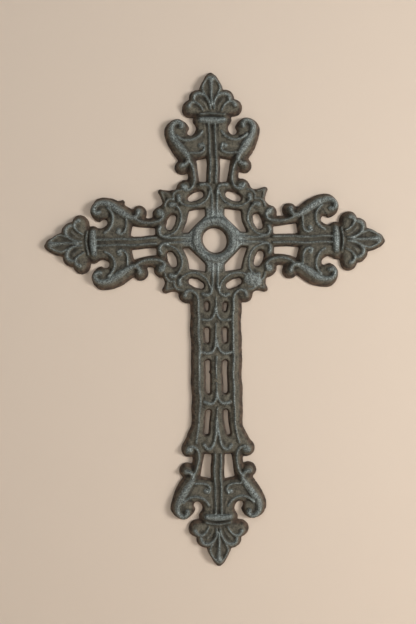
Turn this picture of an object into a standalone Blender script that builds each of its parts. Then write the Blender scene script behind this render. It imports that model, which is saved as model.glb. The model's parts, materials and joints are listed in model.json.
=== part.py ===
"""Cast iron openwork wall cross: one flat-backed sand casting, in metres.

The relief is drawn in millimetres on the plane of the wall, u to the right and v up from the middle of the
ring. Round-edged lines laid on a bed of points give the outline and the ground, narrower ones the ridges, and
others the holes. The bed is cut off level, given an upright edge and a flat back, and thinned out.
It stands with its back on the plane y = 0, its front facing -Y, and its origin on the back behind the top
neck.
"""

import math
from collections import namedtuple

import bmesh
import bpy
import numpy as np

MM = 0.001

# Driving dimensions, in millimetres
CELL = 0.8  # spacing of the bed's points
EDGE = 1.2  # upright edge at the back
GROUND = 5.0  # level between the ridges
RIDGE = 7.3  # top of a ridge
RING_TOP = 8.6
RING_EYE = 8.3  # radius of the hole through the ring
RING_MIDDLE = 13.2  # radius of the middle of its flat band
RING_BAND = 2.4  # half the band's width
SHAFT_HALF = 17.6  # half the shaft's width at the back
SHAFT_DROP = 106.5  # how much further out the lower end sits than the other three
MOUNT_RISE = 82.0  # of the hanging point over the ring's middle
SIDE_ROOM, TOP_ROOM, FOOT_ROOM = 122.0, 122.0, 230.0  # how far the bed reaches from the ring's middle

# Slopes, in millimetres up for each millimetre in from the edge
OUTER_DRAFT = 1.2
HOLE_DRAFT = 3.2
KITE_DRAFT = 5.0
GROUND_RISE = 0.1

TRIANGLES = 9000
IRON_COLOUR = (0.075, 0.068, 0.058, 1.0)

Ridge = namedtuple("Ridge", "line top drop flatness", defaults=(RIDGE, 2.2, 2.0))
Arm = namedtuple("Arm", "turn start lean stretch spread sag", defaults=(0.0, 0.0, 1.0, 1.0, 0.0))

# start: how far the end is set out; lean: degrees off square; sag: sideways set of the ground
ARMS = {
    "top": Arm(turn=90, lean=0.6, stretch=0.985),
    "right": Arm(turn=0, lean=-0.5, spread=0.98, sag=0.6),
    "left": Arm(turn=180, lean=0.9, spread=0.97, sag=-0.6),
    "foot": Arm(turn=270, start=SHAFT_DROP),
}


def eased(*points, step=0.7):
    """A smooth line through (across, along, half width) points, its width eased with it."""
    p = np.array(points, float)
    p = np.vstack([2 * p[0] - p[1], p, 2 * p[-1] - p[-2]])
    out = []
    for a, b, c, d in zip(p, p[1:], p[2:], p[3:]):
        count = max(2, int(math.dist(b[:2], c[:2]) / step))
        k = np.linspace(0, 1, count, endpoint=False)[:, None]
        out.append(b + 0.5 * k * (c - a + k * (2 * a - 5 * b + 4 * c - d + k * (3 * b - a - 3 * c + d))))
    return np.vstack([*out, p[-2:-1]])


def arc(centre, radius, start, end, width):
    """Part of a circle, from one angle to another in degrees."""
    angles = np.radians(np.linspace(start, end, 2 + int(abs(end - start) / 8)))
    across = centre[0] + radius * np.cos(angles)
    along = centre[1] + radius * np.sin(angles)
    return np.column_stack([across, along, np.full_like(angles, width)])


def straight(*points):
    return np.array(points, float)


# The end of an arm, pointing up: lines on its right-hand side, which are mirrored to the left
SCROLL_GROUND = eased((26.9, 77, 5.6), (25.8, 72, 6.2), (23, 66.5, 6.6), (20.3, 61.5, 6.0), (18.3, 57.5, 5.2))
SCROLL_HEAD = straight((24.05, 76.5, 8.5))
HOOK_GROUND = straight((21.3, 51.5, 5.2))
STEM_GROUND = eased((17.0, 56, 4.3), (13.9, 50, 4.2), (13.2, 44, 4.1), (14.2, 38, 4.3))
CURL_GROUND = straight((19.4, 36.6, 5.9))
COLLAR_GROUND = straight((8, 83, 5.4), (2, 83, 5.4))
OUTER_PETAL_GROUND = straight((14.8, 91.9, 6.0), (6, 91, 5.5))
INNER_PETAL_GROUND = straight((9.3, 98.8, 6.2), (4, 92, 6.0))
PANEL_GROUND = straight((7.5, 66, 10), (13.5, 65, 9.3))
PANEL_SIDE_GROUND = straight((16, 69, 6), (20, 66, 6))
NECK_GROUND = straight((5.5, 70, 7), (5.5, 84, 6))
SIDE_GROUND = (
    SCROLL_GROUND, SCROLL_HEAD, HOOK_GROUND, STEM_GROUND, CURL_GROUND, COLLAR_GROUND,
    OUTER_PETAL_GROUND, INNER_PETAL_GROUND, PANEL_GROUND, PANEL_SIDE_GROUND, NECK_GROUND,
)
NECK_GAP = eased((14.8, 84.5, 0.7), (14.0, 81.2, 1.3), (13.2, 78.2, 2.1), (14.8, 75.6, 2.3))
ARM_OPENING = ((4.8, 40.8), (9.2, 40.8), (11.7, 56), (5.0, 57.5))

SCROLL_CREST = eased(
    (21.3, 78.7, 1.9), (20.9, 80.6, 1.7), (23.5, 82.4, 1.8), (26.9, 80.6, 1.9), (28.0, 76.5, 2.2),
    (26.4, 71, 2.6), (23, 66, 2.9), (19.8, 61.5, 2.6), (17.5, 57.8, 2.0), (17.3, 54.8, 1.6),
    (19, 52.5, 1.6), (21.6, 51.8, 2.0),
)
SCROLL_LIP = arc((16, 79.2), 10.1, 203, 322, 1.25)
PANEL_EDGE = eased(
    (15.8, 60.2, 1.0), (10.5, 60.1, 1.1), (6.9, 61.4, 1.2), (5.6, 64.0, 1.2), (6.8, 66.7, 1.2),
)
PANEL_CURL = straight((8.3, 65.3, 2.4))
STEM_RIDGE = eased(
    (16.8, 55.5, 1.1), (14.2, 50.5, 1.1), (13.0, 45.5, 1.1), (13.0, 41, 1.1),
    (14.3, 37, 1.2), (17.2, 34.9, 1.4), (20.3, 35.8, 1.7), (21.0, 38.0, 1.8),
)
CURL_BLOB = straight((19.3, 37.0, 2.6))
BAR_RIDGE = straight((2.05, 40, 1.0), (2.05, 80, 1.0))
NECK_FLUTE = straight((5.0, 71, 0.8), (5.2, 80, 0.8))
INNER_PETAL = eased(
    (1.2, 91, 1.0), (2.0, 96, 1.2), (4.4, 100.0, 1.5), (8.3, 101.6, 1.8), (11.4, 100.2, 1.7), (12.3, 97.8, 1.6),
)
PETAL_VEIN = eased((3.9, 91, 0.8), (5.2, 94.5, 0.9), (8.0, 97.4, 1.3))
OUTER_PETAL = eased((6.5, 89.8, 0.9), (8.5, 93.3, 1.1), (11.6, 95.6, 1.4), (14.6, 95.0, 1.6), (16, 92.7, 2.1))
TIP_EDGE = eased((4.4, 101.5, 1.0), (6.0, 105.3, 1.2), (4.6, 109.3, 1.1), (1.7, 113.5, 1.0))
SIDE_RIDGES = (
    Ridge(SCROLL_CREST, 7.6, 2.2, 2.6),
    Ridge(SCROLL_LIP),
    Ridge(PANEL_EDGE),
    Ridge(PANEL_CURL),
    Ridge(STEM_RIDGE),
    Ridge(CURL_BLOB, 7.1, 1.6),
    Ridge(BAR_RIDGE),
    Ridge(NECK_FLUTE, 6.0, 1.2),
    Ridge(INNER_PETAL, 7.2),
    Ridge(PETAL_VEIN, 6.3, 1.6),
    Ridge(OUTER_PETAL, 7.2),
    Ridge(TIP_EDGE, 6.8),
)

# The end of an arm: lines on its axis
BAR_GROUND = straight((0, 34, 4.8), (0, 84, 4.8))
TIP_GROUND = eased((0, 90, 6), (0, 97, 6.5), (0, 104, 8.0), (0, 109, 6.2), (0, 113, 3.9), (0, 115.7, 1.9))
COLLAR_BAND = eased((-7.6, 83, 2.1), (0, 83, 2.6), (7.6, 83, 2.1))
COLLAR_BEAD = eased((-8.4, 87.0, 0.9), (0, 87.8, 0.9), (8.4, 87.0, 0.9))
TIP_RIDGE = eased((0, 93.5, 0.9), (0, 101, 1.2), (0, 107, 1.6), (0, 112.2, 2.7))
AXIS_RIDGES = (Ridge(COLLAR_BAND, 8.0, 2.4, 4.0), Ridge(COLLAR_BEAD, 7.0), Ridge(TIP_RIDGE, 7.5))

# One half quarter of the middle, between the upright bar and the diagonal, mirrored to the other seven
RING_BAR_RIDGE = eased(
    (1.75, 15.5, 1.0), (1.7, 28, 1.0), (2.0, 33, 1.1), (3.3, 36.6, 1.3), (6.3, 38.0, 1.7), (9.0, 37.2, 1.6),
)
LOOP_RIDGE = eased(
    (2.8, 35, 0.9), (4.3, 29.5, 0.9), (7.3, 25.6, 0.9), (12, 23.2, 1.0), (17.3, 23.0, 1.0), (21.6, 24.6, 1.0),
    (24, 27, 1.3),
)
CORNER_BEAD = straight((24.2, 30.0, 2.3), (24.5, 27.3, 1.7))
CORNER_ARCH = eased((22.3, 34.3, 0.9), (25.6, 33.6, 1.0), (28.0, 31.0, 1.0), (27.7, 27.9, 0.9))
MIDDLE_RIDGES = (
    Ridge(RING_BAR_RIDGE), Ridge(LOOP_RIDGE, 7.1), Ridge(CORNER_BEAD, 7.4), Ridge(CORNER_ARCH, 6.7, 1.6),
)
LOOP_HOLE = straight((15.8, 28.7, 2.3), (13.0, 29.8, 2.8), (9.9, 31.1, 2.3))
MIDDLE_GROUND = (straight((0, 0, 36)), straight((20, 33, 6), (27, 27, 6)), straight((3, 36, 5), (9, 36, 5)))
KITE = ((6.9, 16.9), (7.0, 21.6), (17.8, 19.9), (19.0, 12.5), (22.0, 5.3), (18.0, 5.3))

# The leaf at each corner: the middle of its rounded tip, and the tip's radius
LEAVES = ((35.2, 34.8, 1.7), (-36.7, 33.5, 1.9), (-34.3, -34.1, 2.3), (33.8, -33.6, 2.3))
LEAF_FOOT = (28.5, 28.5, 6.3)
LEAF_RIM = ((-5.4, -1.9, 0.8), (-0.9, -0.7, 1.0), (-1.9, -5.9, 0.8))  # from there, in the upper right one

# The shaft, with v counted downwards: lines on its right-hand side
SHAFT_GROUND = (
    *(straight((across, 30, SHAFT_HALF - 12), (across, 143, SHAFT_HALF - 12)) for across in (0, 6, 12)),
    straight((12, 128, 5.4), (17.5, 141, 6)),
    straight((19.4, 37.3, 6.1)),
)
SLOTS = (
    straight((6.3, 43.8, 1.1), (6.1, 48, 0.8)),
    straight((6.0, 61.8, 1.5), (6.2, 69.3, 1.2)),
    straight((5.9, 84, 1.5), (5.9, 104, 1.4)),
    straight((5.8, 118, 1.4), (7.6, 132.5, 1.4)),
)
SHAFT_EDGE = eased(
    (11.9, 42, 1.2), (11.7, 70, 1.3), (11.7, 100, 1.2), (11.9, 118, 1.1), (13.3, 132, 1.1), (14.6, 139, 1.1),
)
SHAFT_CURL = eased((11.9, 42, 1.1), (13.2, 37.6, 1.2), (16.6, 34.9, 1.4), (20.2, 35.8, 1.7), (21.0, 38.3, 1.8))
FORK_TOPS = (
    eased((0.4, 46, 0.9), (1.0, 50.5, 1.1), (2.6, 53.6, 1.3), (5.2, 55.0, 1.3), (9.6, 55.0, 1.3)),
    eased((0.4, 68, 0.9), (1.2, 73.5, 1.1), (3.2, 76.8, 1.4), (6.2, 77.7, 1.6), (10.0, 77.0, 1.4)),
    eased((0.4, 104, 0.9), (1.1, 109, 1.1), (3.0, 111.6, 1.5), (6.0, 112.0, 1.9), (9.0, 111.0, 1.6)),
    eased(
        (0.3, 122, 0.9), (1.2, 133, 1.2), (2.4, 139, 1.4), (4.6, 142.6, 1.6), (7.3, 143.0, 1.8), (9.2, 140.6, 2.0),
    ),
)
SHAFT_RIDGES = (Ridge(SHAFT_EDGE), Ridge(SHAFT_CURL), *(Ridge(top, 7.1) for top in FORK_TOPS))
FORK_STEMS = (
    straight((0, 39, 0.8), (0, 50, 0.9)),
    straight((0, 57, 1.1), (0, 73, 0.8)),
    straight((0, 80, 1.2), (0, 94.5, 1.0)),
    straight((0, 97.5, 1.0), (0, 109, 0.9)),
    straight((0, 115, 0.9), (0, 133, 0.9)),
)

# What the mould did once, with v up: a flash tab on the left arm, a lump in a slot and a clogged corner
FLASH_TAB = straight((-65.5, 25.0, 2.4), (-63.0, 27.2, 1.4))
SLOT_LUMP = straight((-3.4, -91, 1.1), (-4.4, -91, 0.9))
CLOGGED_CORNER = Ridge(straight((24.2, -27.4, 4.6), (28.2, -28.2, 4.0)), 7.0, 0.9, 3.0)


def blended(a, b, width):
    """The larger of two fields, with a fillet of about this width where they meet."""
    k = np.clip(0.5 + 0.5 * (a - b) / width, 0, 1)
    return a * k + b * (1 - k) + width * k * (1 - k)


def trimmed(a, b, width):
    """The smaller of two fields, rounded over where they meet."""
    return -blended(-a, -b, width)


class Bed:
    """How far each point of the bed is inside the outline, and how high ridges and hole walls stand there."""

    def __init__(self, cell):
        self.across = np.arange(-SIDE_ROOM, SIDE_ROOM + cell / 2, cell)
        self.up = np.arange(-FOOT_ROOM, TOP_ROOM + cell / 2, cell)
        u, v = np.meshgrid(self.across, self.up)
        # A hand-cut pattern wanders by a few tenths of a millimetre
        self.u = u + 0.22 * np.sin(v / 5.3 + 0.4) + 0.16 * np.sin(v / 2.9 + u / 8.0)
        self.v = v + 0.22 * np.sin(u / 4.7 + 1.1) + 0.16 * np.sin(u / 3.1 - v / 7.0)
        self.inside = np.full(u.shape, -9.0)
        self.ridge = np.full(u.shape, -9.0)
        self.wall = np.full(u.shape, 20.0)

    def near(self, line, room):
        """The part of the bed within this room of a line."""
        low = line[:, :2].min(axis=0) - room
        high = line[:, :2].max(axis=0) + room
        rows = slice(*np.searchsorted(self.up, (low[1], high[1])))
        columns = slice(*np.searchsorted(self.across, (low[0], high[0])))
        return rows, columns

    def reach(self, line, room):
        """The part of the bed near a line, each point's distance from it, and the line's half width there."""
        window = self.near(line, line[:, 2].max() + room)
        u, v = self.u[window], self.v[window]
        distance, width = np.hypot(u - line[0, 0], v - line[0, 1]), np.full(u.shape, line[0, 2])
        for (u0, v0, w0), (u1, v1, w1) in zip(line, line[1:]):
            du, dv = u1 - u0, v1 - v0
            k = np.clip(((u - u0) * du + (v - v0) * dv) / (du * du + dv * dv), 0, 1)
            d = np.hypot(u - u0 - k * du, v - v0 - k * dv)
            w = w0 + (w1 - w0) * k
            closer = w - d > width - distance
            distance, width = np.where(closer, d, distance), np.where(closer, w, width)
        return window, distance, width

    def lay(self, line):
        """Adds ground under a line."""
        window, distance, width = self.reach(line, 6)
        self.inside[window] = blended(self.inside[window], width - distance, 1.2)

    def pierce(self, line, draft=HOLE_DRAFT):
        """Cuts a round-ended hole along a line."""
        window, distance, width = self.reach(line, 8)
        self.wall[window] = np.minimum(self.wall[window], EDGE + draft * (distance - width))

    def pierce_between(self, corners, draft=HOLE_DRAFT):
        """Cuts a straight-sided hole between its corners."""
        outline = np.column_stack([np.vstack([corners, corners[:1]]), np.zeros(len(corners) + 1)])
        window, distance, _ = self.reach(outline, 8)
        u, v = self.u[window], self.v[window]
        within = np.zeros(u.shape, bool)
        for (u0, v0, _), (u1, v1, _) in zip(outline, outline[1:]):
            spans = (v0 > v) != (v1 > v)
            within ^= spans & (u < u0 + (u1 - u0) * (v - v0) / (v1 - v0 or 1))
        wall = EDGE + draft * np.where(within, -distance, distance)
        self.wall[window] = np.minimum(self.wall[window], wall)

    def build_up(self, ridge, line):
        """Raises a ridge along a line."""
        window, distance, width = self.reach(line, 1.5)
        height = ridge.top - ridge.drop * (distance / width) ** ridge.flatness
        self.ridge[window] = np.maximum(self.ridge[window], height)

    def height(self):
        """How far each point stands above the back."""
        ground = trimmed(EDGE + OUTER_DRAFT * self.inside, GROUND + GROUND_RISE * (self.inside - 3), 1.2)
        return trimmed(blended(ground, self.ridge, 0.5), self.wall, 0.8)


def mirrored(line):
    return line * (-1, 1, 1)


def placed_on(arm, line, sag=0.0):
    """A line of an arm's end, moved from the upright arm to its own."""
    angle = math.radians(arm.turn + arm.lean)
    outwards = np.array((math.cos(angle), math.sin(angle)))
    sideways = np.array((math.sin(angle), -math.cos(angle)))
    across = line[:, :1] * arm.spread + sag
    along = line[:, 1:2] * arm.stretch + arm.start
    return np.hstack([across * sideways + along * outwards, line[:, 2:]])


def lay_arm_end(bed, arm):
    for ground in SIDE_GROUND:
        for line in (ground, mirrored(ground)):
            bed.lay(placed_on(arm, line, arm.sag))
    for ground in (BAR_GROUND, TIP_GROUND):
        bed.lay(placed_on(arm, ground, arm.sag))
    for ridge in SIDE_RIDGES:
        for line in (ridge.line, mirrored(ridge.line)):
            bed.build_up(ridge, placed_on(arm, line))
    for ridge in AXIS_RIDGES:
        bed.build_up(ridge, placed_on(arm, ridge.line))
    opening = np.column_stack([ARM_OPENING, np.zeros(len(ARM_OPENING))])
    for side in (1, -1):
        bed.pierce(placed_on(arm, NECK_GAP * (side, 1, 1), arm.sag))
        bed.pierce_between(placed_on(arm, opening * (side, 1, 1))[:, :2])


def eighths(line):
    """The eight places of a line of the middle: across the diagonal, then across both axes."""
    for half in (line, line[:, (1, 0, 2)]):
        for u_sign in (1, -1):
            for v_sign in (1, -1):
                yield half * (u_sign, v_sign, 1)


def lay_middle(bed):
    for ground in MIDDLE_GROUND:
        for line in eighths(ground):
            bed.lay(line)
    for ridge in MIDDLE_RIDGES:
        for line in eighths(ridge.line):
            bed.build_up(ridge, line)
    for line in eighths(LOOP_HOLE):
        bed.pierce(line)
    for u_sign in (1, -1):
        for v_sign in (1, -1):
            bed.pierce_between(np.array(KITE) * (u_sign, v_sign), KITE_DRAFT)
    ring = arc((0, 0), RING_MIDDLE, 0, 360, RING_BAND)
    bed.build_up(Ridge(ring, RING_TOP, 2.4, 4.0), ring)
    bed.pierce(straight((0, 0, RING_EYE)))


def lay_leaves(bed):
    for u, v, radius in LEAVES:
        quarter = np.array((math.copysign(1, u), math.copysign(1, v), 1))
        tip = np.array((u, v, radius))
        bed.lay(np.array((quarter * LEAF_FOOT, tip)))
        rim = quarter * LEAF_RIM
        rim[:, :2] += tip[:2]
        bed.build_up(Ridge(rim, 6.4, 1.4), rim)


def lay_shaft(bed):
    down = (1, -1, 1)
    for side in (1, -1):
        for ground in SHAFT_GROUND:
            bed.lay(ground * down * (side, 1, 1))
        for slot in SLOTS:
            bed.pierce(slot * down * (side, 1, 1))
        for ridge in SHAFT_RIDGES:
            bed.build_up(ridge, ridge.line * down * (side, 1, 1))
    for stem in FORK_STEMS:
        bed.build_up(Ridge(stem, 6.9), stem * down)


def lay_flaws(bed):
    bed.lay(FLASH_TAB)
    bed.build_up(CLOGGED_CORNER, CLOGGED_CORNER.line)
    window, distance, width = bed.reach(SLOT_LUMP, 2)
    bed.wall[window] = np.maximum(bed.wall[window], EDGE + HOLE_DRAFT * (width - distance))


def relief(cell):
    """The bed with the whole cross laid on it."""
    bed = Bed(cell)
    lay_middle(bed)
    lay_leaves(bed)
    lay_shaft(bed)
    for arm in ARMS.values():
        lay_arm_end(bed, arm)
    lay_flaws(bed)
    return bed


def cut_front(bed):
    """The front as an open mesh: the bed's points pushed out to their heights, cut off level at the edge."""
    height = bed.height()
    columns, rows = len(bed.across), len(bed.up)
    bm = bmesh.new()
    bmesh.ops.create_grid(bm, x_segments=columns - 1, y_segments=rows - 1, size=0.5)
    for vert in bm.verts:
        column = round((vert.co.x + 0.5) * (columns - 1))
        row = round((vert.co.y + 0.5) * (rows - 1))
        up = bed.up[row] - MOUNT_RISE
        vert.co = (bed.across[column] * MM, -height[row, column] * MM, up * MM)
    outside = [vert for vert in bm.verts if all(other.co.y > -EDGE * MM for other in around(vert))]
    bmesh.ops.delete(bm, geom=outside, context="VERTS")
    whole = [*bm.verts, *bm.edges, *bm.faces]
    bmesh.ops.bisect_plane(bm, geom=whole, plane_co=(0, -EDGE * MM, 0), plane_no=(0, 1, 0), clear_outer=True)
    bmesh.ops.dissolve_degenerate(bm, edges=bm.edges, dist=0.03 * MM)
    bmesh.ops.triangulate(bm, faces=bm.faces)
    return bm


def around(vert):
    """A point and its neighbours."""
    yield vert
    for edge in vert.link_edges:
        yield edge.other_vert(vert)


def close_back(bm):
    """Drops an upright edge from the rim of the front to the back, and closes the flat back."""
    rim = [edge for edge in bm.edges if edge.is_boundary]
    skirt = bmesh.ops.extrude_edge_only(bm, edges=rim)["geom"]
    for vert in (item for item in skirt if isinstance(item, bmesh.types.BMVert)):
        vert.co.y = 0.0
    sole = [edge for edge in bm.edges if edge.is_boundary]
    bmesh.ops.triangle_fill(bm, edges=sole, use_beauty=True, normal=(0, 1, 0))
    bmesh.ops.recalc_face_normals(bm, faces=bm.faces)


def thin_out(bm, triangles):
    """Leaves fewer triangles where the surface bends less, with the back still flat."""
    mesh = bpy.data.meshes.new("whole")
    bm.to_mesh(mesh)
    whole = bpy.data.objects.new("whole", mesh)
    bpy.context.collection.objects.link(whole)
    whole.modifiers.new("Decimate", "DECIMATE").ratio = triangles / len(bm.faces)
    thin = whole.evaluated_get(bpy.context.evaluated_depsgraph_get())
    bm.clear()
    bm.from_mesh(thin.to_mesh())
    bpy.data.objects.remove(whole)
    bpy.data.meshes.remove(mesh)
    for vert in bm.verts:
        if vert.co.y > -EDGE / 3 * MM:
            vert.co.y = 0.0


def iron():
    material = bpy.data.materials.new("cast_iron")
    material.use_nodes = True
    shader = material.node_tree.nodes["Principled BSDF"]
    shader.inputs["Base Color"].default_value = IRON_COLOUR
    shader.inputs["Roughness"].default_value = 0.55
    shader.inputs["Metallic"].default_value = 0.6
    return material


def make_cross():
    bm = cut_front(relief(CELL))
    close_back(bm)
    thin_out(bm, TRIANGLES)
    mesh = bpy.data.meshes.new("cross")
    bm.to_mesh(mesh)
    bm.free()
    mesh.shade_smooth()
    mesh.set_sharp_from_angle(angle=math.radians(40))
    mesh.materials.append(iron())
    cross = bpy.data.objects.new("cross", mesh)
    bpy.context.collection.objects.link(cross)


def main():
    for obj in list(bpy.data.objects):
        bpy.data.objects.remove(obj)
    make_cross()


if __name__ == "__main__":
    main()
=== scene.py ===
"""Looks of the cast iron wall cross: its fine relief, its worn and rusty finish, and a plain studio.

The relief is drawn in millimetres on the plane of the wall, u to the right and v up from the ring's middle.
The finished casting is in metres, flat on the plane y = 0, with its front facing -Y.
"""

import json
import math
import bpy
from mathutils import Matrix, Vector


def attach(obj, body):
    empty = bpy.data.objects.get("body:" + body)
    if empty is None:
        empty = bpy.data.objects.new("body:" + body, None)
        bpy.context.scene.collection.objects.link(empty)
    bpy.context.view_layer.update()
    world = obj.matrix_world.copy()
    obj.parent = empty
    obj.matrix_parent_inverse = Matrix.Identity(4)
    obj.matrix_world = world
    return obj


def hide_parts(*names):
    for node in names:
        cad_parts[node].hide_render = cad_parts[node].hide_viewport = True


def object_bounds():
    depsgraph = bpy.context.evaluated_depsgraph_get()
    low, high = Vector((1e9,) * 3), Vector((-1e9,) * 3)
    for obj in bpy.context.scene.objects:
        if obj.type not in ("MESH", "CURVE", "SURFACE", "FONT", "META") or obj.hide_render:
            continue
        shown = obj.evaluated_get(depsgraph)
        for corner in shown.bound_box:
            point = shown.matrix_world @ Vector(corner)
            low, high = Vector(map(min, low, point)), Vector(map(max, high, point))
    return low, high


bl_info = {
    "name": "Cast Iron Wall Cross",
    "version": (1, 0, 0),
    "blender": (4, 5, 0),
    "location": "3D View > Sidebar > Wall Cross",
    "description": "Casts an openwork iron wall cross with its finish, and sets up a plain studio",
    "category": "Object",
}

from collections import namedtuple

import bmesh
import bpy
import numpy as np
from bpy.props import FloatProperty, FloatVectorProperty, IntProperty, PointerProperty
from mathutils import Quaternion, Vector

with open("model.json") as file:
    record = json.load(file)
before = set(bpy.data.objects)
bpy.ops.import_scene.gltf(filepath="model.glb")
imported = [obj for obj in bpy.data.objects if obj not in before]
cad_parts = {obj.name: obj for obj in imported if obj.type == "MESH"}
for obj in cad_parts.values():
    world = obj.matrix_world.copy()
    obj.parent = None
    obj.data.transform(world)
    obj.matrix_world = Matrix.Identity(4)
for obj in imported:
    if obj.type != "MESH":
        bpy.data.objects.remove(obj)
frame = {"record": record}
CAD_LOW, CAD_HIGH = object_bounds()
EYE_BOX = np.array(frame["record"]["physics"]["openings"][0]["box_m"])
MIDDLE_RISE = float(EYE_BOX[:, 2].mean())  # height of the ring's middle, in metres

MM = 0.001
SHARP_ANGLE = math.radians(50)  # edges turned by more than this look sharp

# How the strokes of the relief meet, in millimetres
GROUND_FILLET = 1.2
RIDGE_FILLET = 0.5
WALL_ROUNDING = 0.8
SHOULDER = 1.2  # rounding between an outer wall and the ground
GROUND_REACH, HOLE_REACH, RIDGE_REACH = 6, 8, 1.5  # how far past its width a stroke is worked out
GROUND_RISE, RISE_FROM = 0.1, 3  # the ground's rise for each millimetre inwards, level this far inside
WANDER, QUIVER = 0.22, 0.16  # how far a hand-cut pattern strays, in long and in short waves

Ridge = namedtuple("Ridge", "line rise drop flatness", defaults=(0.0, 2.2, 2.0))
Arm = namedtuple("Arm", "turn start lean stretch spread sag", defaults=(0.0, 0.0, 1.0, 1.0, 0.0))

# start: how far the end is set out; lean: degrees off square; sag: sideways set of the ground
ARMS = {
    "top": Arm(turn=90, lean=0.6, stretch=0.985),
    "right": Arm(turn=0, lean=-0.5, spread=0.98, sag=0.6),
    "left": Arm(turn=180, lean=0.9, spread=0.97, sag=-0.6),
    "foot": Arm(turn=270, start=106.5),
}


def eased(*points, step=0.6):
    """A smooth line through (across, along, half width) points, its width eased with it."""
    p = np.array(points, float)
    p = np.vstack([2 * p[0] - p[1], p, 2 * p[-1] - p[-2]])
    out = []
    for a, b, c, d in zip(p, p[1:], p[2:], p[3:]):
        count = max(2, int(math.dist(b[:2], c[:2]) / step))
        k = np.linspace(0, 1, count, endpoint=False)[:, None]
        out.append(b + 0.5 * k * (c - a + k * (2 * a - 5 * b + 4 * c - d + k * (3 * b - a - 3 * c + d))))
    return np.vstack([*out, p[-2:-1]])


def arc(centre, radius, start, end, width):
    """Part of a circle, from one angle to another in degrees."""
    angles = np.radians(np.linspace(start, end, 2 + int(abs(end - start) / 4)))
    across = centre[0] + radius * np.cos(angles)
    along = centre[1] + radius * np.sin(angles)
    return np.column_stack([across, along, np.full_like(angles, width)])


def straight(*points):
    return np.array(points, float)


# The end of an arm, pointing up: lines on its right-hand side, which are mirrored to the left
SCROLL_GROUND = eased((26.9, 77, 5.6), (25.8, 72, 6.2), (23, 66.5, 6.6), (20.3, 61.5, 6.0), (18.3, 57.5, 5.2))
SCROLL_HEAD = straight((24.05, 76.5, 8.5))
HOOK_GROUND = straight((21.3, 51.5, 5.2))
STEM_GROUND = eased((17.0, 56, 4.3), (13.9, 50, 4.2), (13.2, 44, 4.1), (14.2, 38, 4.3))
CURL_GROUND = straight((19.4, 36.6, 5.9))
COLLAR_GROUND = straight((8, 83, 5.4), (2, 83, 5.4))
OUTER_PETAL_GROUND = straight((14.8, 91.9, 6.0), (6, 91, 5.5))
INNER_PETAL_GROUND = straight((9.3, 98.8, 6.2), (4, 92, 6.0))
PANEL_GROUND = straight((7.5, 66, 10), (13.5, 65, 9.3))
PANEL_SIDE_GROUND = straight((16, 69, 6), (20, 66, 6))
NECK_GROUND = straight((5.5, 70, 7), (5.5, 84, 6))
SIDE_GROUND = (
    SCROLL_GROUND, SCROLL_HEAD, HOOK_GROUND, STEM_GROUND, CURL_GROUND, COLLAR_GROUND,
    OUTER_PETAL_GROUND, INNER_PETAL_GROUND, PANEL_GROUND, PANEL_SIDE_GROUND, NECK_GROUND,
)
NECK_GAP = eased((14.8, 84.5, 0.7), (14.0, 81.2, 1.3), (13.2, 78.2, 2.1), (14.8, 75.6, 2.3))
ARM_OPENING = ((4.8, 40.8), (9.2, 40.8), (11.7, 56), (5.0, 57.5))

SCROLL_CREST = eased(
    (21.3, 78.7, 1.9), (20.9, 80.6, 1.7), (23.5, 82.4, 1.8), (26.9, 80.6, 1.9), (28.0, 76.5, 2.2),
    (26.4, 71, 2.6), (23, 66, 2.9), (19.8, 61.5, 2.6), (17.5, 57.8, 2.0), (17.3, 54.8, 1.6),
    (19, 52.5, 1.6), (21.6, 51.8, 2.0),
)
SCROLL_LIP = arc((16, 79.2), 10.1, 203, 322, 1.25)
PANEL_EDGE = eased(
    (15.8, 60.2, 1.0), (10.5, 60.1, 1.1), (6.9, 61.4, 1.2), (5.6, 64.0, 1.2), (6.8, 66.7, 1.2),
)
PANEL_CURL = straight((8.3, 65.3, 2.4))
STEM_RIDGE = eased(
    (16.8, 55.5, 1.1), (14.2, 50.5, 1.1), (13.0, 45.5, 1.1), (13.0, 41, 1.1),
    (14.3, 37, 1.2), (17.2, 34.9, 1.4), (20.3, 35.8, 1.7), (21.0, 38.0, 1.8),
)
CURL_BLOB = straight((19.3, 37.0, 2.6))
BAR_RIDGE = straight((2.05, 40, 1.0), (2.05, 80, 1.0))
NECK_FLUTE = straight((5.0, 71, 0.8), (5.2, 80, 0.8))
INNER_PETAL = eased(
    (1.2, 91, 1.0), (2.0, 96, 1.2), (4.4, 100.0, 1.5), (8.3, 101.6, 1.8), (11.4, 100.2, 1.7),
    (12.3, 97.8, 1.6),
)
PETAL_VEIN = eased((3.9, 91, 0.8), (5.2, 94.5, 0.9), (8.0, 97.4, 1.3))
OUTER_PETAL = eased((6.5, 89.8, 0.9), (8.5, 93.3, 1.1), (11.6, 95.6, 1.4), (14.6, 95.0, 1.6), (16, 92.7, 2.1))
TIP_EDGE = eased((4.4, 101.5, 1.0), (6.0, 105.3, 1.2), (4.6, 109.3, 1.1), (1.7, 113.5, 1.0))
SIDE_RIDGES = (
    Ridge(SCROLL_CREST, 0.3, 2.2, 2.6),
    Ridge(SCROLL_LIP),
    Ridge(PANEL_EDGE),
    Ridge(PANEL_CURL),
    Ridge(STEM_RIDGE),
    Ridge(CURL_BLOB, -0.2, 1.6),
    Ridge(BAR_RIDGE),
    Ridge(NECK_FLUTE, -1.3, 1.2),
    Ridge(INNER_PETAL, -0.1),
    Ridge(PETAL_VEIN, -1.0, 1.6),
    Ridge(OUTER_PETAL, -0.1),
    Ridge(TIP_EDGE, -0.5),
)

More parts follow.
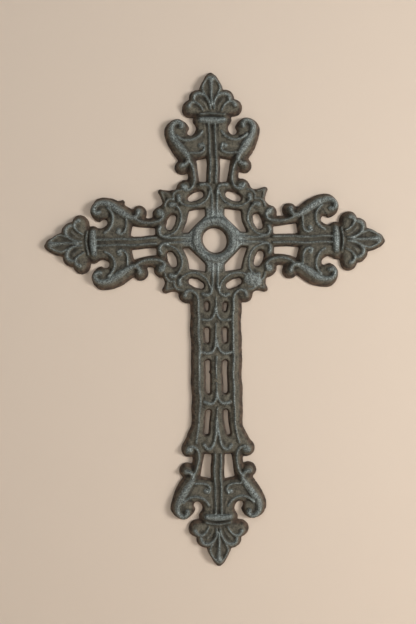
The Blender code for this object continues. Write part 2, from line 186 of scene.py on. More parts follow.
# The end of an arm: lines on its axis
BAR_GROUND = straight((0, 34, 4.8), (0, 84, 4.8))
TIP_GROUND = eased((0, 90, 6), (0, 97, 6.5), (0, 104, 8.0), (0, 109, 6.2), (0, 113, 3.9), (0, 115.7, 1.9))
COLLAR_BAND = eased((-7.6, 83, 2.1), (0, 83, 2.6), (7.6, 83, 2.1))
COLLAR_BEAD = eased((-8.4, 87.0, 0.9), (0, 87.8, 0.9), (8.4, 87.0, 0.9))
TIP_RIDGE = eased((0, 93.5, 0.9), (0, 101, 1.2), (0, 107, 1.6), (0, 112.2, 2.7))
AXIS_RIDGES = (Ridge(COLLAR_BAND, 0.7, 2.4, 4.0), Ridge(COLLAR_BEAD, -0.3), Ridge(TIP_RIDGE, 0.2))

# One half quarter of the middle, between the upright bar and the diagonal, mirrored to the other seven
RING_BAR_RIDGE = eased(
    (1.75, 15.5, 1.0), (1.7, 28, 1.0), (2.0, 33, 1.1), (3.3, 36.6, 1.3), (6.3, 38.0, 1.7), (9.0, 37.2, 1.6),
)
LOOP_RIDGE = eased(
    (2.8, 35, 0.9), (4.3, 29.5, 0.9), (7.3, 25.6, 0.9), (12, 23.2, 1.0), (17.3, 23.0, 1.0), (21.6, 24.6, 1.0),
    (24, 27, 1.3),
)
CORNER_BEAD = straight((24.2, 30.0, 2.3), (24.5, 27.3, 1.7))
CORNER_ARCH = eased((22.3, 34.3, 0.9), (25.6, 33.6, 1.0), (28.0, 31.0, 1.0), (27.7, 27.9, 0.9))
MIDDLE_RIDGES = (
    Ridge(RING_BAR_RIDGE), Ridge(LOOP_RIDGE, -0.2), Ridge(CORNER_BEAD, 0.1), Ridge(CORNER_ARCH, -0.6, 1.6),
)
LOOP_HOLE = straight((15.8, 28.7, 2.3), (13.0, 29.8, 2.8), (9.9, 31.1, 2.3))
MIDDLE_GROUND = (straight((0, 0, 36)), straight((20, 33, 6), (27, 27, 6)), straight((3, 36, 5), (9, 36, 5)))
KITE = ((6.9, 16.9), (7.0, 21.6), (17.8, 19.9), (19.0, 12.5), (22.0, 5.3), (18.0, 5.3))
RING_MIDDLE, RING_BAND = 13.2, 2.4  # radius of the middle of the ring's flat band, and half its width

# The leaf at each corner: the middle of its rounded tip, and the tip's radius
LEAVES = ((35.2, 34.8, 1.7), (-36.7, 33.5, 1.9), (-34.3, -34.1, 2.3), (33.8, -33.6, 2.3))
LEAF_FOOT = (28.5, 28.5, 6.3)
LEAF_RIM = ((-5.4, -1.9, 0.8), (-0.9, -0.7, 1.0), (-1.9, -5.9, 0.8))  # from there, in the upper right one

# The shaft, with v counted downwards: lines on its right-hand side
SHAFT_HALF = 17.6
SHAFT_LINES = (0, 6, 12)  # lines of ground side by side, the last one reaching the shaft's edge
SHAFT_REST = SHAFT_HALF - SHAFT_LINES[-1]
SHAFT_GROUND = (
    *(straight((across, 30, SHAFT_REST), (across, 143, SHAFT_REST)) for across in SHAFT_LINES),
    straight((12, 128, 5.4), (17.5, 141, 6)),
    straight((19.4, 37.3, 6.1)),
)
SLOTS = (
    straight((6.3, 43.8, 1.1), (6.1, 48, 0.8)),
    straight((6.0, 61.8, 1.5), (6.2, 69.3, 1.2)),
    straight((5.9, 84, 1.5), (5.9, 104, 1.4)),
    straight((5.8, 118, 1.4), (7.6, 132.5, 1.4)),
)
SHAFT_EDGE = eased(
    (11.9, 42, 1.2), (11.7, 70, 1.3), (11.7, 100, 1.2), (11.9, 118, 1.1), (13.3, 132, 1.1), (14.6, 139, 1.1),
)
SHAFT_CURL = eased(
    (11.9, 42, 1.1), (13.2, 37.6, 1.2), (16.6, 34.9, 1.4), (20.2, 35.8, 1.7), (21.0, 38.3, 1.8),
)
FORK_TOPS = (
    eased((0.4, 46, 0.9), (1.0, 50.5, 1.1), (2.6, 53.6, 1.3), (5.2, 55.0, 1.3), (9.6, 55.0, 1.3)),
    eased((0.4, 68, 0.9), (1.2, 73.5, 1.1), (3.2, 76.8, 1.4), (6.2, 77.7, 1.6), (10.0, 77.0, 1.4)),
    eased((0.4, 104, 0.9), (1.1, 109, 1.1), (3.0, 111.6, 1.5), (6.0, 112.0, 1.9), (9.0, 111.0, 1.6)),
    eased(
        (0.3, 122, 0.9), (1.2, 133, 1.2), (2.4, 139, 1.4), (4.6, 142.6, 1.6), (7.3, 143.0, 1.8),
        (9.2, 140.6, 2.0),
    ),
)
SHAFT_RIDGES = (Ridge(SHAFT_EDGE), Ridge(SHAFT_CURL), *(Ridge(top, -0.2) for top in FORK_TOPS))
FORK_STEMS = (
    straight((0, 39, 0.8), (0, 50, 0.9)),
    straight((0, 57, 1.1), (0, 73, 0.8)),
    straight((0, 80, 1.2), (0, 94.5, 1.0)),
    straight((0, 97.5, 1.0), (0, 109, 0.9)),
    straight((0, 115, 0.9), (0, 133, 0.9)),
)

# What the mould did once, with v up: a flash tab on the left arm, a lump in a slot and a clogged corner
FLASH_TAB = straight((-65.5, 25.0, 2.4), (-63.0, 27.2, 1.4))
SLOT_LUMP = straight((-3.4, -91, 1.1), (-4.4, -91, 0.9))
CLOGGED_CORNER = Ridge(straight((24.2, -27.4, 4.6), (28.2, -28.2, 4.0)), -0.3, 0.9, 3.0)


class CrossSizes(bpy.types.PropertyGroup):
    cell: FloatProperty(
        name="Cell", description="Spacing of the relief's points", default=0.5 * MM, min=0.3 * MM,
        unit="LENGTH", precision=5,
    )
    edge: FloatProperty(
        name="Edge", description="Upright edge at the back", default=1.2 * MM, unit="LENGTH", precision=5,
    )
    ground: FloatProperty(
        name="Ground", description="Level between the ridges", default=5.0 * MM, unit="LENGTH", precision=5,
    )
    ridge: FloatProperty(
        name="Ridge", description="Usual top of a ridge", default=7.3 * MM, unit="LENGTH", precision=5,
    )
    ring_rise: FloatProperty(
        name="Ring rise", description="Ring's top above a ridge's", default=1.3 * MM, unit="LENGTH",
        precision=5,
    )
    eye: FloatProperty(
        name="Eye", description="Radius of the hole through the ring", default=8.3 * MM, unit="LENGTH",
        precision=5,
    )
    outer_draft: FloatProperty(name="Outer draft", description="Slope of the outer walls", default=1.2)
    hole_draft: FloatProperty(name="Hole draft", description="Slope of the walls of the holes", default=3.2)
    kite_draft: FloatProperty(
        name="Kite draft", description="Slope of the walls of the four large holes by the ring", default=5.0,
    )
    wear: FloatProperty(
        name="Wear", description="Radius to which edges are worn round", default=0.3 * MM, unit="LENGTH",
        precision=5,
    )
    lump: FloatProperty(
        name="Lump", description="Usual unevenness left by the sand", default=0.07 * MM, unit="LENGTH",
        precision=5,
    )
    pit: FloatProperty(
        name="Pit", description="Depth of the pits", default=0.35 * MM, unit="LENGTH", precision=5,
    )
    seed: IntProperty(name="Seed", description="Picks the lumps and pits", default=4)


def colour(name, description, default):
    return FloatVectorProperty(
        name=name, description=description, default=default, size=3, min=0.0, max=1.0, subtype="COLOR"
    )


class CrossFinish(bpy.types.PropertyGroup):
    rust_dark: colour("Dark rust", "Darker patches of the walls", (0.035, 0.022, 0.014))
    rust: colour("Rust", "Lighter patches of the walls", (0.115, 0.075, 0.048))
    ground_dark: colour("Dark ground", "Darker patches between the ridges", (0.048, 0.042, 0.030))
    ground: colour("Ground", "Lighter patches between the ridges", (0.165, 0.148, 0.108))
    worn_dark: colour("Dark worn iron", "Dark grains on the ridges", (0.060, 0.066, 0.062))
    # Worn iron on the ridges; its light blue-grey colour is also a painted sheen, a reflection painted into
    # the colour.
    worn: colour("Worn iron", "Light grains on the ridges", (0.30, 0.335, 0.315))
    # Real dirt in the pits, and also painted shade along the feet of the ridges.
    dirt_and_shade: colour("Dirt", "Dirt along the feet of the ridges and in the pits", (0.018, 0.015, 0.011))
    grain: FloatProperty(
        name="Grain", description="Size of the finest grains", default=0.8 * MM, unit="LENGTH", precision=5,
    )
    grain_depth: FloatProperty(
        name="Grain depth", description="Depth of the finest grains", default=0.16 * MM, unit="LENGTH",
        precision=5,
    )


class CrossStudio(bpy.types.PropertyGroup):
    wall: colour("Wall", "Pale wall behind the cross", (0.76, 0.63, 0.51))
    floor: colour("Floor", "Pale floor below it", (0.70, 0.66, 0.61))
    world: colour("Surroundings", "Light from all round", (0.92, 0.96, 1.0))
    world_strength: FloatProperty(name="Surroundings' strength", description="Its strength", default=0.19)
    gap: FloatProperty(
        name="Gap", description="Between the casting's back and the wall", default=0.4 * MM, unit="LENGTH",
        precision=5,
    )
    drop: FloatProperty(
        name="Drop", description="From the foot of the cross to the floor", default=0.12, unit="LENGTH",
    )
    key: FloatProperty(name="Key", description="Power of the light from the right", default=7.6, unit="POWER")
    fill: FloatProperty(name="Fill", description="Power of the front light", default=3.0, unit="POWER")
    rear: FloatProperty(name="Rear", description="Power of the light behind", default=5.0, unit="POWER")
    lens: FloatProperty(name="Lens", description="Focal length", default=50.0, unit="CAMERA")
    distance: FloatProperty(
        name="Distance", description="From the camera to the wall", default=0.598, unit="LENGTH",
    )
    turn: FloatProperty(
        name="Turn", description="How far left of square the camera stands", default=math.radians(0.363),
        subtype="ANGLE",
    )
    dip: FloatProperty(
        name="Dip", description="How far below square the camera stands", default=math.radians(0.148),
        subtype="ANGLE",
    )
    roll: FloatProperty(
        name="Roll", description="How far the picture leans", default=math.radians(-0.76), subtype="ANGLE",
    )
    aim: FloatVectorProperty(
        name="Aim", description="Where on the wall the picture has its middle", size=3,
        default=(-0.00532, 0.0, -0.13143), subtype="XYZ", unit="LENGTH",
    )


def blended(a, b, width):
    """The larger of two fields, with a fillet of about this width where they meet."""
    k = np.clip(0.5 + 0.5 * (a - b) / width, 0, 1)
    return a * k + b * (1 - k) + width * k * (1 - k)


def trimmed(a, b, width):
    """The smaller of two fields, rounded over where they meet."""
    return -blended(-a, -b, width)


def stepped(field, low, high):
    """0 below low, 1 above high, and a smooth step between."""
    k = np.clip((field - low) / (high - low), 0, 1)
    return k * k * (3 - 2 * k)


class Bed:
    """How far each point of the bed is inside the outline, and how high ridges and hole walls stand there."""

    def __init__(self, sizes):
        self.cell = sizes.cell / MM
        self.edge = sizes.edge / MM
        self.ground = sizes.ground / MM
        self.ridge_top = sizes.ridge / MM
        self.highest = -CAD_LOW.y / MM
        self.sizes = sizes
        room = 3 * self.cell
        sides = max(CAD_HIGH.x, -CAD_LOW.x) / MM + room
        low, high = ((z - MIDDLE_RISE) / MM for z in (CAD_LOW.z, CAD_HIGH.z))
        self.across = np.arange(-sides, sides, self.cell)
        self.up = np.arange(low - room, high + room, self.cell)
        u, v = np.meshgrid(self.across, self.up)
        self.u = u + WANDER * np.sin(v / 5.3 + 0.4) + QUIVER * np.sin(v / 2.9 + u / 8.0)
        self.v = v + WANDER * np.sin(u / 4.7 + 1.1) + QUIVER * np.sin(u / 3.1 - v / 7.0)
        self.inside = np.full(u.shape, -9.0)
        self.ridge = np.full(u.shape, -9.0)
        self.wall = np.full(u.shape, 20.0)

    def near(self, line, room):
        """The part of the bed within this room of a line."""
        low = line[:, :2].min(axis=0) - room
        high = line[:, :2].max(axis=0) + room
        rows = slice(*np.searchsorted(self.up, (low[1], high[1])))
        columns = slice(*np.searchsorted(self.across, (low[0], high[0])))
        return rows, columns

    def reach(self, line, room):
        """The part of the bed near a line, each point's distance from it, and the line's half width there."""
        window = self.near(line, line[:, 2].max() + room)
        u, v = self.u[window], self.v[window]
        distance, width = np.hypot(u - line[0, 0], v - line[0, 1]), np.full(u.shape, line[0, 2])
        for (u0, v0, w0), (u1, v1, w1) in zip(line, line[1:]):
            du, dv = u1 - u0, v1 - v0
            k = np.clip(((u - u0) * du + (v - v0) * dv) / (du * du + dv * dv), 0, 1)
            d = np.hypot(u - u0 - k * du, v - v0 - k * dv)
            w = w0 + (w1 - w0) * k
            closer = w - d > width - distance
            distance, width = np.where(closer, d, distance), np.where(closer, w, width)
        return window, distance, width

    def lay(self, line):
        """Adds ground under a line."""
        window, distance, width = self.reach(line, GROUND_REACH)
        self.inside[window] = blended(self.inside[window], width - distance, GROUND_FILLET)

    def pierce(self, line):
        """Cuts a round-ended hole along a line."""
        window, distance, width = self.reach(line, HOLE_REACH)
        wall = self.edge + self.sizes.hole_draft * (distance - width)
        self.wall[window] = np.minimum(self.wall[window], wall)

    def pierce_between(self, corners, draft=None):
        """Cuts a straight-sided hole between its corners."""
        outline = np.column_stack([np.vstack([corners, corners[:1]]), np.zeros(len(corners) + 1)])
        window, distance, _ = self.reach(outline, HOLE_REACH)
        u, v = self.u[window], self.v[window]
        within = np.zeros(u.shape, bool)
        for (u0, v0, _), (u1, v1, _) in zip(outline, outline[1:]):
            spans = (v0 > v) != (v1 > v)
            within ^= spans & (u < u0 + (u1 - u0) * (v - v0) / (v1 - v0 or 1))
        wall = self.edge + (draft or self.sizes.hole_draft) * np.where(within, -distance, distance)
        self.wall[window] = np.minimum(self.wall[window], wall)

    def build_up(self, ridge, line):
        """Raises a ridge along a line."""
        window, distance, width = self.reach(line, RIDGE_REACH)
        height = self.ridge_top + ridge.rise - ridge.drop * (distance / width) ** ridge.flatness
        self.ridge[window] = np.maximum(self.ridge[window], height)

    def softened(self, field, radius):
        """The field blurred to this radius in millimetres."""
        rows = np.fft.fftfreq(field.shape[0], self.cell)[:, None]
        columns = np.fft.rfftfreq(field.shape[1], self.cell)
        keep = np.exp(-2 * (math.pi * radius) ** 2 * (rows**2 + columns**2))
        return np.fft.irfft2(np.fft.rfft2(field) * keep, s=field.shape)

    def lumps(self, random, size):
        """Even random lumps of about this size in millimetres, mostly between -2 and 2."""
        field = self.softened(random.standard_normal(self.u.shape), size / 3)
        return field / field.std()

    def height(self):
        """How far each point stands above the back, as worn and as pitted as it is."""
        sizes = self.sizes
        slope = self.edge + sizes.outer_draft * self.inside
        ground = trimmed(slope, self.ground + GROUND_RISE * (self.inside - RISE_FROM), SHOULDER)
        height = trimmed(blended(ground, self.ridge, RIDGE_FILLET), self.wall, WALL_ROUNDING)
        height = self.softened(np.maximum(height, -3), sizes.wear / MM)
        random = np.random.default_rng(sizes.seed)
        uneven = 0.8 * self.lumps(random, 3.5) + 0.6 * self.lumps(random, 1.6)
        pits = stepped(self.lumps(random, 1.5) + 0.5 * self.lumps(random, 6.0), 1.9, 2.9)
        height = height + sizes.lump / MM * uneven - sizes.pit / MM * pits
        return np.minimum(height, self.highest - 0.02)


def mirrored(line):
    return line * (-1, 1, 1)


def placed_on(arm, line, sag=0.0):
    """A line of an arm's end, moved from the upright arm to its own."""
    angle = math.radians(arm.turn + arm.lean)
    outwards = np.array((math.cos(angle), math.sin(angle)))
    sideways = np.array((math.sin(angle), -math.cos(angle)))
    across = line[:, :1] * arm.spread + sag
    along = line[:, 1:2] * arm.stretch + arm.start
    return np.hstack([across * sideways + along * outwards, line[:, 2:]])


def lay_arm_end(bed, arm):
    for ground in SIDE_GROUND:
        for line in (ground, mirrored(ground)):
            bed.lay(placed_on(arm, line, arm.sag))
    for ground in (BAR_GROUND, TIP_GROUND):
        bed.lay(placed_on(arm, ground, arm.sag))
    for ridge in SIDE_RIDGES:
        for line in (ridge.line, mirrored(ridge.line)):
            bed.build_up(ridge, placed_on(arm, line))
    for ridge in AXIS_RIDGES:
        bed.build_up(ridge, placed_on(arm, ridge.line))
    opening = np.column_stack([ARM_OPENING, np.zeros(len(ARM_OPENING))])
    for side in (1, -1):
        bed.pierce(placed_on(arm, NECK_GAP * (side, 1, 1), arm.sag))
        bed.pierce_between(placed_on(arm, opening * (side, 1, 1))[:, :2])


def eighths(line):
    """The eight places of a line of the middle: across the diagonal, then across both axes."""
    for half in (line, line[:, (1, 0, 2)]):
        for u_sign in (1, -1):
            for v_sign in (1, -1):
                yield half * (u_sign, v_sign, 1)


def lay_middle(bed):
    for ground in MIDDLE_GROUND:
        for line in eighths(ground):
            bed.lay(line)
    for ridge in MIDDLE_RIDGES:
        for line in eighths(ridge.line):
            bed.build_up(ridge, line)
    for line in eighths(LOOP_HOLE):
        bed.pierce(line)
    for u_sign in (1, -1):
        for v_sign in (1, -1):
            bed.pierce_between(np.array(KITE) * (u_sign, v_sign), bed.sizes.kite_draft)
    ring = arc((0, 0), RING_MIDDLE, 0, 360, RING_BAND)
    bed.build_up(Ridge(ring, bed.sizes.ring_rise / MM, 2.4, 4.0), ring)
    bed.pierce(straight((0, 0, bed.sizes.eye / MM)))


def lay_leaves(bed):
    for u, v, radius in LEAVES:
        quarter = np.array((math.copysign(1, u), math.copysign(1, v), 1))
        tip = np.array((u, v, radius))
        bed.lay(np.array((quarter * LEAF_FOOT, tip)))
        rim = quarter * LEAF_RIM
        rim[:, :2] += tip[:2]
        bed.build_up(Ridge(rim, -0.9, 1.4), rim)


def lay_shaft(bed):
    down = (1, -1, 1)
    for side in (1, -1):
        for ground in SHAFT_GROUND:
            bed.lay(ground * down * (side, 1, 1))
        for slot in SLOTS:
            bed.pierce(slot * down * (side, 1, 1))
        for ridge in SHAFT_RIDGES:
            bed.build_up(ridge, ridge.line * down * (side, 1, 1))
    for stem in FORK_STEMS:
        bed.build_up(Ridge(stem, -0.4), stem * down)


def lay_flaws(bed):
    bed.lay(FLASH_TAB)
    bed.build_up(CLOGGED_CORNER, CLOGGED_CORNER.line)
    window, distance, width = bed.reach(SLOT_LUMP, 2)
    bed.wall[window] = np.maximum(bed.wall[window], bed.edge + bed.sizes.hole_draft * (width - distance))


def relief(sizes):
    """The bed with the whole cross laid on it."""
    bed = Bed(sizes)
    lay_middle(bed)
    lay_leaves(bed)
    lay_shaft(bed)
    for arm in ARMS.values():
        lay_arm_end(bed, arm)
    lay_flaws(bed)
    return bed


def finish_masks(bed, height):
    """Where ridge tops are worn and carry a painted sheen, where ground lies between ridges, and where
    painted shade and dirt darken creases.
    """
    near, wide = bed.softened(height, 0.7), bed.softened(np.maximum(height, 0), 2.0)
    return {
        "worn": stepped(height, bed.ground + 0.8, bed.ridge_top - 0.6),
        "level": stepped(near, bed.ground - 1.8, bed.ground - 0.4),
        # Painted shade: a cavity mask that darkens the feet of the ridges, where shade falls, with some real
        # dirt in it.
        "hollow": stepped(wide - height, 0.15, 1.1) * stepped(height, bed.edge + 1, bed.ground - 0.6),
    }


def cut_front(bed, height):
    """The front as an open mesh: the bed pushed out to its heights, cut at the edge and at the CAD's box."""
    columns, rows = len(bed.across), len(bed.up)
    masks = finish_masks(bed, height)
    high = height > bed.edge
    kept = high.copy()
    for axis in (0, 1):
        for shift in (1, -1):
            kept |= np.roll(high, shift, axis)
    bm = bmesh.new()
    layers = {name: bm.verts.layers.float.new(name) for name in masks}
    bmesh.ops.create_grid(bm, x_segments=columns - 1, y_segments=rows - 1, size=0.5)
    outside = []
    for vert in bm.verts:
        column = round((vert.co.x + 0.5) * (columns - 1))
        row = round((vert.co.y + 0.5) * (rows - 1))
        if not kept[row, column]:
            outside.append(vert)
            continue
        vert.co = (bed.across[column] * MM, -height[row, column] * MM, bed.up[row] * MM + MIDDLE_RISE)
        for name, layer in layers.items():
            vert[layer] = masks[name][row, column]
    bmesh.ops.delete(bm, geom=outside, context="VERTS")
    cuts = [((0, -bed.edge * MM, 0), (0, 1, 0))]
    for corner, outwards in ((CAD_LOW, -1), (CAD_HIGH, 1)):
        cuts += [(corner, (outwards, 0, 0)), (corner, (0, 0, outwards))]
    for place, normal in cuts:
        whole = [*bm.verts, *bm.edges, *bm.faces]
        bmesh.ops.bisect_plane(bm, geom=whole, plane_co=place, plane_no=normal, clear_outer=True)
    bmesh.ops.dissolve_degenerate(bm, edges=bm.edges, dist=0.03 * MM)
    bmesh.ops.triangulate(bm, faces=bm.faces)
    return bm


def close_back(bm):
    """Drops an upright edge from the rim of the front to the back, and closes the flat back."""
    rim = [edge for edge in bm.edges if edge.is_boundary]
    skirt = bmesh.ops.extrude_edge_only(bm, edges=rim)["geom"]
    for vert in (item for item in skirt if isinstance(item, bmesh.types.BMVert)):
        vert.co.y = 0.0
    sole = [edge for edge in bm.edges if edge.is_boundary]
    back = bmesh.ops.triangle_fill(bm, edges=sole, use_beauty=True, normal=(0, 1, 0))["geom"]
    for face in (item for item in back if isinstance(item, bmesh.types.BMFace)):
        face.material_index = 1
    bmesh.ops.recalc_face_normals(bm, faces=bm.faces)


def nodes_of(block):
    """A material's or world's node tree, emptied."""
    block.use_nodes = True
    block.node_tree.nodes.clear()
    return block.node_tree


def put(tree, kind, settings=None, **inputs):
    """Adds a node with its settings, and sets or links its inputs, named with _ for a space."""
    node = tree.nodes.new(kind)
    for name, value in (settings or {}).items():
        setattr(node, name, value)
    for name, value in inputs.items():
        socket = next(s for s in node.inputs if s.enabled and s.name == name.replace("_", " "))
        if isinstance(value, bpy.types.NodeSocket):
            tree.links.new(value, socket)
        else:
            socket.default_value = (*value, 1.0) if socket.type == "RGBA" else value
    return node


def noise(tree, where, size, detail=2.0, roughness=0.5):
    """Noise of about this grain size in metres, from 0 to 1."""
    made = put(
        tree, "ShaderNodeTexNoise", Vector=where, Scale=1 / size, Detail=detail, Roughness=roughness,
    )
    return made.outputs["Fac"]


def step(tree, value, low, high):
    """0 below low, 1 above high, and a smooth step between."""
    settings = {"interpolation_type": "SMOOTHSTEP"}
    made = put(tree, "ShaderNodeMapRange", settings, Value=value, From_Min=low, From_Max=high)
    return made.outputs["Result"]


def mixed(tree, factor, a, b):
    """Two colours mixed by a mask."""
    settings = {"data_type": "RGBA"}
    return put(tree, "ShaderNodeMix", settings, Factor=factor, A=a, B=b).outputs[2]


def between(tree, factor, a, b):
    """Two numbers mixed by a mask."""
    return put(tree, "ShaderNodeMix", {"data_type": "FLOAT"}, Factor=factor, A=a, B=b).outputs[0]


def times(tree, a, b):
    made = put(tree, "ShaderNodeMath", {"operation": "MULTIPLY"})
    for socket, value in zip(made.inputs, (a, b)):
        if isinstance(value, bpy.types.NodeSocket):
            tree.links.new(value, socket)
        else:
            socket.default_value = value
    return made.outputs[0]


def attribute(tree, name):
    return put(tree, "ShaderNodeAttribute", {"attribute_name": name}).outputs["Fac"]


def sand_skin():
    """The skin that the moulding sand leaves on iron, for every side of the casting."""
    tree = bpy.data.node_groups.new("sand_skin", "ShaderNodeTree")
    tree.interface.new_socket("Place", in_out="INPUT", socket_type="NodeSocketVector")
    tree.interface.new_socket("Grain Scale", in_out="INPUT", socket_type="NodeSocketFloat")
    for name in ("Grain", "Mottle", "Patches", "Pits", "Height"):
        tree.interface.new_socket(name, in_out="OUTPUT", socket_type="NodeSocketFloat")
    given = tree.nodes.new("NodeGroupInput")
    place = given.outputs["Place"]
    scale = given.outputs["Grain Scale"]
    fine = put(
        tree, "ShaderNodeTexNoise", Vector=place, Scale=scale, Detail=2.0, Roughness=0.6,
    ).outputs["Fac"]
    mottle = noise(tree, place, 3.2 * MM, 3.0, 0.55)
    patches = noise(tree, place, 22 * MM, 2.0)
    cells = put(tree, "ShaderNodeTexVoronoi", Vector=place, Scale=1 / (2.6 * MM), Randomness=1.0)
    dots = step(tree, cells.outputs["Distance"], 0.30, 0.12)
    pits = times(tree, dots, step(tree, noise(tree, place, 9 * MM), 0.50, 0.62))
    height = between(tree, 0.35, step(tree, fine, 0.25, 0.75), mottle)
    given_out = tree.nodes.new("NodeGroupOutput")
    results = {
        "Grain": step(tree, fine, 0.32, 0.68),
        "Mottle": step(tree, mottle, 0.34, 0.66),
        "Patches": step(tree, patches, 0.35, 0.65),
        "Pits": pits,
        "Height": between(tree, pits, height, 0.0),
    }
    for name, value in results.items():
        tree.links.new(value, given_out.inputs[name])
    return tree


def skin_on(tree, skin, grain):
    """The sand skin placed in a material."""
    place = tree.nodes.new("ShaderNodeTexCoord").outputs["Object"]
    made = tree.nodes.new("ShaderNodeGroup")
    made.node_tree = skin
    tree.links.new(place, made.inputs["Place"])
    made.inputs["Grain Scale"].default_value = 1 / grain
    return made.outputs


def surface(tree, base, roughness, metallic, skin, depth):
    """The shader of iron, with its grains standing out by this depth."""
    bump = put(tree, "ShaderNodeBump", Strength=1.0, Distance=depth, Height=skin["Height"])
    shader = put(
        tree, "ShaderNodeBsdfPrincipled", Base_Color=base, Roughness=roughness, Metallic=metallic,
        Normal=bump.outputs["Normal"],
    )
    out = tree.nodes.new("ShaderNodeOutputMaterial")
    tree.links.new(shader.outputs["BSDF"], out.inputs["Surface"])


def worn_iron(skin, finish):
    """The front: rusty walls, brown ground, painted shade and dirt along the ridges, and worn ridges with a
    painted blue-grey sheen.
    """
    material = bpy.data.materials.new("worn_iron")
    tree = nodes_of(material)
    skin = skin_on(tree, skin, finish.grain)
    rust = mixed(tree, skin["Mottle"], finish.rust_dark, finish.rust)
    speckle = between(tree, 0.5, skin["Mottle"], skin["Grain"])
    ground = mixed(tree, speckle, finish.ground_dark, finish.ground)
    base = mixed(tree, attribute(tree, "level"), rust, ground)
    # Worn ridge tops: real wear, plus a painted blue-grey sheen in their light colour.
    worn = mixed(tree, skin["Grain"], finish.worn_dark, finish.worn)
    rubbed_and_sheen = times(tree, attribute(tree, "worn"), between(tree, skin["Mottle"], 0.72, 1.0))
    base = mixed(tree, rubbed_and_sheen, base, worn)
    # Painted shade, with some dirt, darkens the creases along the feet of the ridges.
    base = mixed(tree, times(tree, attribute(tree, "hollow"), 0.85), base, finish.dirt_and_shade)
    base = mixed(tree, times(tree, skin["Pits"], 0.8), base, finish.dirt_and_shade)
    roughness = between(tree, rubbed_and_sheen, 0.85, 0.42)
    metallic = times(tree, rubbed_and_sheen, 0.45)
    surface(tree, base, roughness, metallic, skin, finish.grain_depth)
    return material


def rough_iron(skin, finish):
    """The flat back: unworn, dark and rusty."""
    material = bpy.data.materials.new("rough_iron")
    tree = nodes_of(material)
    skin = skin_on(tree, skin, 1.4 * finish.grain)
    ground = mixed(tree, skin["Mottle"], finish.ground_dark, finish.ground)
    base = mixed(tree, skin["Patches"], finish.rust, ground)
    base = mixed(tree, times(tree, skin["Grain"], 0.5), base, finish.rust_dark)
    base = mixed(tree, times(tree, skin["Pits"], 0.9), base, finish.dirt_and_shade)
    surface(tree, base, 0.8, 0.1, skin, 1.6 * finish.grain_depth)
    return material


def linked(name, bm):
    """A new object made of this mesh."""
    mesh = bpy.data.meshes.new(name)
    bm.to_mesh(mesh)
    bm.free()
    made = bpy.data.objects.new(name, mesh)
    bpy.context.collection.objects.link(made)
    return made


class CastCross(bpy.types.Operator):
    """Makes the casting in fine relief, with its finish, in place of the plain one"""

    bl_idname = "wall_cross.cast"
    bl_label = "Cast the cross"

    def execute(self, context):
        sizes, finish = context.scene.cross_sizes, context.scene.cross_finish
        bed = relief(sizes)
        bm = cut_front(bed, bed.height())
        close_back(bm)
        cross = linked("cross_casting", bm)
        skin = sand_skin()
        cross.data.materials.append(worn_iron(skin, finish))
        cross.data.materials.append(rough_iron(skin, finish))
        cross.data.shade_smooth()
        cross.data.set_sharp_from_angle(angle=SHARP_ANGLE)
        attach(cross, "root")
        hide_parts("cross")
        return {"FINISHED"}


# The studio, in metres: its width, the wall's height, how far the floor comes forward, and its whole depth
STUDIO_WIDTH, WALL_HEIGHT, FLOOR_FRONT, FLOOR_DEPTH = 3, 2.4, 2.4, 4.4
# Each lamp's place from the middle of the cross, and its width
LAMPS = {
    "key": ((0.80, -0.80, 0.02), 0.28),
    "fill": ((-0.25, -1.15, 0.45), 0.9),
    "rear": ((0.7, 0.9, 0.5), 0.5),
}


def matte(name, colour, see_through_behind=False):
    """A plain matte finish, for a wall also one that doesn't show from behind."""
    material = bpy.data.materials.new(name)
    tree = nodes_of(material)
    shade = put(tree, "ShaderNodeBsdfPrincipled", Base_Color=colour, Roughness=0.9).outputs[0]
    if see_through_behind:
        behind = tree.nodes.new("ShaderNodeNewGeometry").outputs["Backfacing"]
        clear = tree.nodes.new("ShaderNodeBsdfTransparent").outputs[0]
        mix = tree.nodes.new("ShaderNodeMixShader")
        for socket, value in zip(mix.inputs, (behind, shade, clear)):
            tree.links.new(value, socket)
        shade = mix.outputs[0]
    out = tree.nodes.new("ShaderNodeOutputMaterial")
    tree.links.new(shade, out.inputs["Surface"])
    return material


def panel(name, corner, along, up, material):
    """A flat sheet from a corner, along two directions."""
    bm = bmesh.new()
    bmesh.ops.create_grid(bm, x_segments=1, y_segments=1, size=0.5)
    for vert in bm.verts:
        vert.co = Vector(corner) + (vert.co.x + 0.5) * Vector(along) + (vert.co.y + 0.5) * Vector(up)
    made = linked(name, bm)
    made.data.materials.append(material)
    return made


def lamp(name, place, aim, width, power):
    """A soft square light, turned towards what it lights."""
    data = bpy.data.lights.new(name, "AREA")
    data.size = width
    data.energy = power
    made = bpy.data.objects.new(name, data)
    made.location = place
    made.rotation_euler = (Vector(aim) - Vector(place)).to_track_quat("-Z", "Y").to_euler()
    bpy.context.collection.objects.link(made)


def camera(studio):
    """The camera that takes the picture, nearly square to the wall."""
    data = bpy.data.cameras.new("camera")
    data.lens = studio.lens
    data.sensor_width = 36.0
    made = bpy.data.objects.new("camera", data)
    turn, dip = studio.turn, studio.dip
    forward = Vector((math.sin(turn) * math.cos(dip), math.cos(turn) * math.cos(dip), math.sin(dip)))
    made.location = Vector(studio.aim) - studio.distance * forward
    straight_on = forward.to_track_quat("-Z", "Y")
    made.rotation_mode = "QUATERNION"
    made.rotation_quaternion = straight_on @ Quaternion((0, 0, 1), studio.roll)
    bpy.context.collection.objects.link(made)
    bpy.context.scene.camera = made


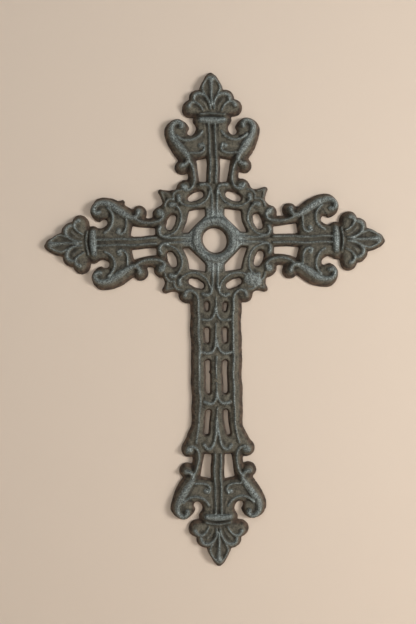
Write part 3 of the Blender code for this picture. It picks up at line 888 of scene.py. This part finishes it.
class SetStudio(bpy.types.Operator):
    """Sets up the pale wall and floor, the soft lights and the camera"""

    bl_idname = "wall_cross.studio"
    bl_label = "Set up the studio"

    def execute(self, context):
        studio = context.scene.cross_studio
        middle = (CAD_LOW + CAD_HIGH) / 2
        floor = CAD_LOW.z - studio.drop
        left, along = -STUDIO_WIDTH / 2, (STUDIO_WIDTH, 0, 0)
        plaster, boards = matte("pale_wall", studio.wall, True), matte("pale_floor", studio.floor)
        wall = panel("wall", (left, studio.gap, floor), along, (0, 0, WALL_HEIGHT), plaster)
        wall.visible_shadow = False
        panel("floor", (left, -FLOOR_FRONT, floor), along, (0, FLOOR_DEPTH, 0), boards)
        for name, (place, width) in LAMPS.items():
            lamp(name, middle + Vector(place), middle, width, getattr(studio, name))
        world = bpy.data.worlds.new("surroundings")
        context.scene.world = world
        tree = nodes_of(world)
        light = put(tree, "ShaderNodeBackground", Color=studio.world, Strength=studio.world_strength)
        out = tree.nodes.new("ShaderNodeOutputWorld")
        tree.links.new(light.outputs[0], out.inputs["Surface"])
        context.scene.view_settings.view_transform = "Standard"
        camera(studio)
        return {"FINISHED"}


class CrossPanel(bpy.types.Panel):
    """Lists the steps and their settings"""

    bl_idname = "VIEW3D_PT_wall_cross"
    bl_label = "Wall Cross"
    bl_space_type = "VIEW_3D"
    bl_region_type = "UI"
    bl_category = "Wall Cross"

    def draw(self, context):
        for group, step_name in (
            (context.scene.cross_sizes, None),
            (context.scene.cross_finish, CastCross.bl_idname),
            (context.scene.cross_studio, SetStudio.bl_idname),
        ):
            box = self.layout.box()
            for name in group.__annotations__:
                box.prop(group, name)
            if step_name:
                box.operator(step_name)


CLASSES = (CrossSizes, CrossFinish, CrossStudio, CastCross, SetStudio, CrossPanel)
SETTINGS = {"cross_sizes": CrossSizes, "cross_finish": CrossFinish, "cross_studio": CrossStudio}


def register():
    for cls in CLASSES:
        bpy.utils.register_class(cls)
    for name, group in SETTINGS.items():
        setattr(bpy.types.Scene, name, PointerProperty(type=group))


def unregister():
    for name in SETTINGS:
        delattr(bpy.types.Scene, name)
    for cls in reversed(CLASSES):
        bpy.utils.unregister_class(cls)


def main():
    register()
    bpy.ops.wall_cross.cast()
    bpy.ops.wall_cross.studio()
    bpy.context.view_layer.update()


if __name__ == "__main__":
    main()
